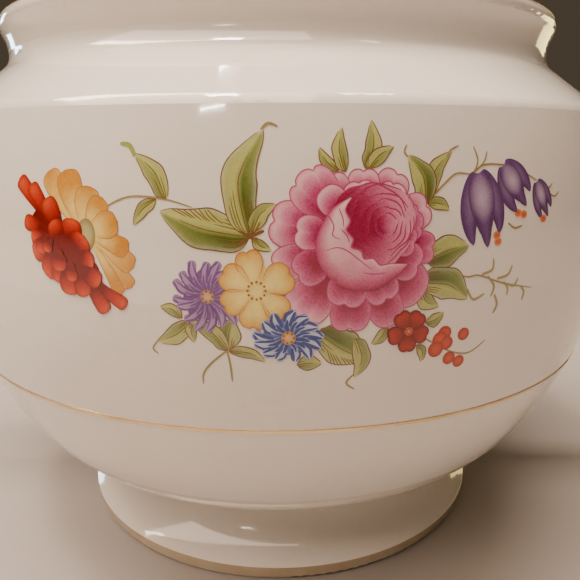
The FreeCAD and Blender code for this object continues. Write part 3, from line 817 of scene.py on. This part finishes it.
def spray_twigs():
    """The front spray's stems and tendrils, all in one piece."""
    twigs = Film("spray_twigs", 1)
    for end in ((-4.6, 56.6), (-4.4, 54.7), (-2.2, 57.0), (-1.9, 54.9), (-3.6, 57.2), (-1.6, 56.3)):
        twig(twigs, (-3.0, 55.7), end, width=0.34, tint=BROWN)
    twig(twigs, (-19.9, 57.0), (-18.3, 58.3), (-15.6, 59.4), (-12.0, 59.3), (-8.8, 58.5))
    twig(twigs, (-15.0, 63.4), (-15.6, 64.4), (-16.7, 64.6), width=0.5, tint=OLIVE)
    for width, *points in (
            (0.30, (-1.9, 65.9), (-1.2, 66.5), (-0.2, 66.2)),
            (0.26, (-5.6, 43.8), (-7.4, 42.2), (-8.3, 40.9), (-8.4, 39.7)),
            (0.24, (-5.6, 43.8), (-5.3, 42.0), (-5.2, 40.1)),
            (0.22, (-9.4, 46.9), (-7.4, 45.2), (-5.6, 43.8)),
            (0.18, (-12.9, 44.7), (-13.7, 43.6), (-13.1, 43.0)),
            (0.24, (8.0, 40.9), (7.1, 39.8), (8.1, 38.9)),
            (0.18, (13.3, 63.2), (12.8, 63.8), (13.1, 64.5)),
            (0.18, (17.7, 63.2), (18.1, 63.9), (19.2, 64.4)),
            (0.20, (15.4, 58.9), (17.3, 60.6), (18.8, 61.6), (20.6, 61.5)),
            (0.20, (20.6, 61.5), (22.4, 62.4), (24.9, 62.4), (27.2, 62.0), (30.6, 60.6)),
            (0.18, (21.0, 61.6), (21.6, 62.9), (21.1, 64.3)),
            (0.18, (21.0, 61.6), (22.4, 62.7), (22.9, 63.8)),
            (0.22, (25.9, 56.2), (26.9, 55.6), (28.1, 55.8)),
            (0.20, (31.8, 60.2), (32.8, 59.7), (33.6, 60.2)),
            (0.20, (32.6, 59.2), (34.0, 58.7), (34.9, 59.2)),
            (0.20, (17.8, 51.4), (20.4, 50.8), (22.0, 50.8), (25.2, 49.7), (28.0, 49.0), (30.4, 48.5))):
        twig(twigs, *points, width=width)
    tendril = shade(colour(162, 150, 100), 0.3)
    for points in (((22.4, 50.9), (23.8, 51.3), (23.9, 52.5)), ((24.6, 50.2), (26.2, 50.5), (26.8, 51.5)),
                   ((23.2, 50.6), (24.2, 49.4), (23.8, 48.2)), ((20.5, 49.4), (21.4, 48.2), (22.9, 48.7)),
                   ((25.6, 49.7), (26.3, 49.0), (26.3, 48.1)), ((26.3, 49.4), (27.3, 49.1), (27.9, 49.9)),
                   ((28.5, 48.8), (29.1, 48.2), (28.9, 47.2)), ((24.4, 48.4), (24.9, 47.2), (24.4, 46.2))):
        twig(twigs, *points, width=0.3, tint=tendril)
    twig(twigs, (15.2, 44.6), (17.0, 43.6), (19.4, 42.3), (21.8, 41.9), (23.9, 43.1))
    twigs.finish()


def left_flower():
    """The flower on the left, seen from its side: yellow petals round a ruff of red ones."""
    calyx = (-20.8, 55.4)
    yellows = (  # tip, width and how warm its tip is
        ((-25.9, 61.7), 2.7, 0.3), ((-15.6, 50.2), 1.6, 0.5), ((-16.9, 49.4), 1.4, 0.9),
        ((-23.4, 61.9), 3.2, 0.9), ((-15.3, 52.3), 2.2, 0.5), ((-20.4, 60.3), 3.1, 0.4),
        ((-15.8, 54.0), 2.1, 1.0), ((-18.7, 59.2), 2.4, 0.8), ((-17.0, 56.9), 2.8, 0.7))
    for number, (tip, width, warm) in enumerate(yellows):
        film = Film(f"yellow_petal_{number + 1:02d}", 2 * number)
        warmer = mixed(STRAW, OCHRE, 0.35 + 0.6 * warm)
        tones = ((0.0, STRAW), (0.45, STRAW), (0.75, warmer), (1.0, OCHRE))
        film.petal(calyx, tip, width, tones, warmer, bend=0.03, pen=GOLD_PEN)
        film.finish()
    core = Film("left_flower_core", 19)
    core.petal((-28.0, 57.4), (-20.0, 50.2), 3.6, ((0.0, MAROON), (1.0, MAROON)), MAROON)
    core.finish()
    reds = (  # base, tip and width
        ((-24.5, 54.5), (-30.5, 60.9), 1.9), ((-24.5, 54.6), (-28.6, 60.3), 1.8),
        ((-24.0, 54.6), (-26.3, 58.9), 2.4), ((-25.5, 54.8), (-29.7, 56.4), 1.8),
        ((-25.3, 54.4), (-28.7, 54.6), 1.8), ((-24.6, 53.8), (-28.5, 52.9), 2.6),
        ((-20.8, 51.3), (-16.3, 48.1), 1.6), ((-21.2, 51.4), (-18.7, 47.2), 1.9),
        ((-24.0, 53.2), (-26.7, 50.6), 2.8), ((-23.8, 53.0), (-24.9, 49.9), 2.4),
        ((-22.8, 52.6), (-23.4, 48.7), 2.8), ((-22.0, 52.2), (-21.3, 48.7), 2.2),
        ((-23.4, 53.6), (-22.6, 57.0), 3.0), ((-24.0, 54.0), (-25.4, 56.6), 2.2),
        ((-23.0, 53.4), (-21.0, 55.2), 3.2), ((-22.6, 53.0), (-19.9, 52.4), 2.6),
        ((-22.0, 52.2), (-19.2, 50.4), 2.2), ((-26.2, 55.0), (-27.4, 53.0), 1.8),
        ((-24.4, 53.6), (-24.6, 51.2), 2.3), ((-22.8, 52.4), (-22.9, 50.2), 1.7),
        ((-25.4, 54.6), (-26.4, 53.2), 1.4))
    tones = ((0.0, MAROON), (0.45, MAROON), (0.7, RED), (0.88, FIRE), (1.0, RED))
    for number, (base, tip, width) in enumerate(reds):
        film = Film(f"red_petal_{number + 1:02d}", 21 + 2 * number)
        film.petal(base, tip, width, tones, MAROON, bend=-0.04)
        film.finish()
    hip = Film("left_flower_calyx", 18)
    hip.dot(calyx, 1.15, shade(colour(192, 182, 132), 0.2), shade(colour(142, 126, 80), 0.3), stretch=1.45)
    hip.finish()


def berries():
    """The bunch of red berries on the right."""
    film = Film("berries", 2)
    for spot, radius in (((18.1, 44.7), 0.85), ((17.6, 44.0), 0.95), ((18.5, 43.5), 0.8),
                         ((17.2, 42.9), 0.95), ((20.6, 44.3), 0.75), ((19.1, 41.6), 0.8),
                         ((20.5, 41.0), 0.75)):
        film.dot(spot, radius, FIRE, mixed(RED, MAROON, 0.4))
    film.finish()


def bells():
    """The three hanging bells and their stamens."""
    bell("bell_1", (21.6, 61.6), (22.9, 54.0), 5.6, layer=6)
    bell("bell_2", (25.2, 62.3), (28.6, 58.0), 4.6, layer=2)
    bell("bell_3", (30.6, 60.4), (32.6, 56.6), 3.2, layer=2)
    film = Film("stamens", 1)
    for spot in ((27.4, 57.2), (28.3, 57.0), (24.4, 54.3), (24.2, 55.0), (31.8, 56.3)):
        film.dot(spot, 0.55, shade(colour(206, 96, 52), 0.4), shade(colour(222, 150, 112), 0.3), stretch=0.8)
    film.finish()


def front_spray():
    """The big spray on the front. Its pieces lie in layers, from the leaves up."""
    spray_leaves()
    spray_twigs()
    left_flower()
    daisy("purple_daisy", (-7.4, 49.6), 3.8, 16, PURPLES, pen_width=0.17, layer=2)
    yellow_blossom("yellow_blossom", (-2.4, 50.3), 1.0, layer=34)
    daisy("blue_daisy", (0.8, 45.3), 3.6, 13, BLUES, pen_width=0.26, layer=50, squash=0.8)
    rose((7.5, 54.2), layer=6)
    red_blossom("red_blossom", (13.6, 45.4), layer=60)
    berries()
    bells()


def sprig(prefix, **place):
    """A small spray for the back of the bowl and for the lid."""
    for number, (base, tip, width, bend, dark) in enumerate((
            ((-1.0, 51.2), (-9.0, 49.4), 2.7, 0.1, 1), ((-0.5, 52.5), (-5.0, 59.0), 2.4, 0.12, -1),
            ((1.5, 53.0), (3.0, 60.2), 2.3, -0.12, 1), ((3.5, 51.5), (11.2, 53.4), 2.6, 0.1, 1),
            ((2.0, 50.5), (7.6, 45.2), 2.4, -0.12, -1), ((-0.5, 50.5), (-4.6, 44.8), 2.2, 0.12, 1))):
        film = Film(f"{prefix}_leaf_{number + 1}", 2 * (number % 3), **place)
        leaf(film, base, tip, width, bend, dark)
        film.finish()
    lines = Film(prefix + "_twigs", 1, **place)
    twig(lines, (-8.4, 49.6), (-10.6, 50.6), (-12.4, 53.4))
    twig(lines, (10.6, 53.2), (12.8, 51.8), (14.2, 49.0))
    twig(lines, (-9.8, 50.2), (-11.2, 49.2), (-12.6, 49.4))
    lines.finish()
    fruit = Film(prefix + "_berries", 2, **place)
    for spot in ((-12.5, 53.8), (-11.4, 54.2), (14.4, 48.6), (13.4, 48.0), (-12.9, 49.5)):
        fruit.dot(spot, 0.7, FIRE, RED)
    fruit.finish()
    daisy(prefix + "_purple_daisy", (-3.0, 53.2), 2.9, 13, PURPLES, pen_width=0.15, layer=8, **place)
    red_blossom(prefix + "_red_blossom", (2.4, 54.8), layer=12, **place)
    yellow_blossom(prefix + "_yellow_blossom", (4.6, 50.8), 0.68, layer=24, **place)
    daisy(prefix + "_blue_daisy", (-0.2, 49.4), 2.7, 11, BLUES, pen_width=0.18, layer=38, **place)


front_spray()
sprig("back_sprig", turn=math.pi)
sprig("lid_front_sprig", surface=on_lid, body=LID)
sprig("lid_back_sprig", surface=on_lid, body=LID, turn=math.pi)

# ---------------------------------------------------------------- slip joints of the handles

# The handle's oval as the CAD has it, how far from the wall the slip starts to flare, and how much
# wider it is at the wall. The slip lies a hair outside the handle all along.
HANDLE_WIDTH, HANDLE_THICKNESS = 7.2, 5.2
SLIP_REACH = 3.6
SLIP_FLARE = 0.42
SLIP_COAT = 1.004


def slip_joint(name, inner, outer, side):
    """The slip that sticks a handle to the wall: the handle's oval, flaring out where it meets the
    wall. inner and outer are the (radius, height) of its ends, and side is 1 or -1."""
    rings, around_it = 12, 40
    dx, dz = outer[0] - inner[0], outer[1] - inner[1]
    length = math.hypot(dx, dz)
    points = []
    for k in range(rings + 1):
        cx, cz = inner[0] + dx * k / rings, inner[1] + dz * k / rings
        for n in range(around_it):
            angle = math.tau * n / around_it
            out = HANDLE_THICKNESS / 2 * math.cos(angle)
            x, y, z = -dz / length * out, HANDLE_WIDTH / 2 * math.sin(angle), dx / length * out
            clear = math.hypot(cx + x, y) - wall_radius(cz + z)
            flare = SLIP_COAT + SLIP_FLARE * min(max(1 - clear / SLIP_REACH, 0), 1) ** 2
            points.append((side * (cx + x * flare) * MM, y * flare * MM, (cz + z * flare) * MM))
    faces = [(k * around_it + n, k * around_it + (n + 1) % around_it,
              (k + 1) * around_it + (n + 1) % around_it, (k + 1) * around_it + n)
             for k in range(rings) for n in range(around_it)]
    faces.append(tuple(reversed(range(around_it))))
    faces.append(tuple(range(rings * around_it, (rings + 1) * around_it)))
    if side > 0:
        faces = [tuple(reversed(face)) for face in faces]
    mesh = bpy.data.meshes.new(name)
    mesh.from_pydata(points, [], faces)
    mesh.shade_smooth()
    mesh.set_sharp_from_angle(angle=math.radians(50))
    mesh.materials.append(porcelain)
    piece = bpy.data.objects.new(name, mesh)
    bpy.context.scene.collection.objects.link(piece)
    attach(piece, BODY)


for side, label in ((1, "right"), (-1, "left")):
    slip_joint(f"slip_{label}_upper", (53.2, 59.14), (58.9, 61.68), side)
    slip_joint(f"slip_{label}_lower", (52.6, 36.70), (58.4, 37.72), side)

# ---------------------------------------------------------------- CAD nodes that stay

GILDED = {"rim_gold_line": gilding, "belly_gold_line": gilding, "foot_gold_band": pale_lit_foot_gilding,
          "handle_gold_right": gilding, "handle_gold_left": gilding, "lid_gold_line": gilding,
          "knob_gold_cap": gilding}
for name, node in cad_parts.items():
    node.data.materials.clear()
    node.data.materials.append(GILDED.get(name, porcelain))

# ---------------------------------------------------------------- stage, lights and camera

FLOOR_SIZE = 3.0
FLOOR_HEIGHT = -0.02 * MM
floor_mesh = bpy.data.meshes.new("floor")
corners = [(x * FLOOR_SIZE, y * FLOOR_SIZE, FLOOR_HEIGHT) for x, y in ((-1, -1), (1, -1), (1, 1), (-1, 1))]
floor_mesh.from_pydata(corners, [], [(0, 1, 2, 3)])
floor_mesh.materials.append(floor_material())
floor = bpy.data.objects.new("floor", floor_mesh)
bpy.context.scene.collection.objects.link(floor)


def lamp(name, place, size, power, tint):
    """A soft rectangular light that faces the middle of the bowl, with its first side level."""
    light = bpy.data.lights.new(name, "AREA")
    light.shape = "RECTANGLE"
    light.size, light.size_y = size
    light.energy = power
    light.color = tint
    lit = bpy.data.objects.new(name, light)
    lit.location = place
    back = (Vector(place) - Vector((0, 0, 0.05))).normalized()
    side = (Vector((1, 0, 0)) - back * back.x).normalized()
    lit.rotation_euler = Matrix((side, back.cross(side), back)).transposed().to_euler()
    bpy.context.scene.collection.objects.link(lit)


lamp("soft_box", (-0.42, -0.40, 1.00), (1.3, 0.8), 16.5, (1.0, 0.785, 0.625))
lamp("strip", (-0.20, 0.055, 0.95), (1.3, 0.20), 18.0, (1.0, 0.83, 0.69))
lamp("ceiling_spot", (-0.178, -0.145, 0.85), (0.10, 0.12), 3.0, (1.0, 0.85, 0.72))
lamp("desk_lamp", (-0.283, -0.737, 0.437), (0.11, 0.005), 0.25, (1.0, 0.93, 0.84))
lamp("window", (-0.735, 0.67, 0.215), (0.12, 0.20), 1.0, (0.66, 0.84, 1.0))
lamp("yellow_wall", (0.70, 0.65, 0.14), (0.3, 0.2), 0.8, (1.0, 0.80, 0.30))
lamp("back_spot", (-0.12, 0.24, 0.80), (0.05, 0.005), 0.06, (1.0, 0.88, 0.74))

world = bpy.data.worlds.new("soft_room")
world.use_nodes = True
backdrop = world.node_tree.nodes["Background"]
backdrop.inputs["Color"].default_value = colour(214, 190, 156)
backdrop.inputs["Strength"].default_value = 0.10
bpy.context.scene.world = world

CAMERA_PLACE = (0.0, -0.11175, 0.0648)
CAMERA_TILT = 14.38
CAMERA_YAW = -0.97
lens = bpy.data.cameras.new("camera")
lens.lens = 36.0
lens.sensor_width = 36.0
lens.clip_start = 0.001
lens.clip_end = 20.0
camera = bpy.data.objects.new("camera", lens)
camera.location = CAMERA_PLACE
camera.rotation_euler = (math.radians(90 - CAMERA_TILT), 0, math.radians(CAMERA_YAW))
bpy.context.scene.collection.objects.link(camera)
bpy.context.scene.camera = camera
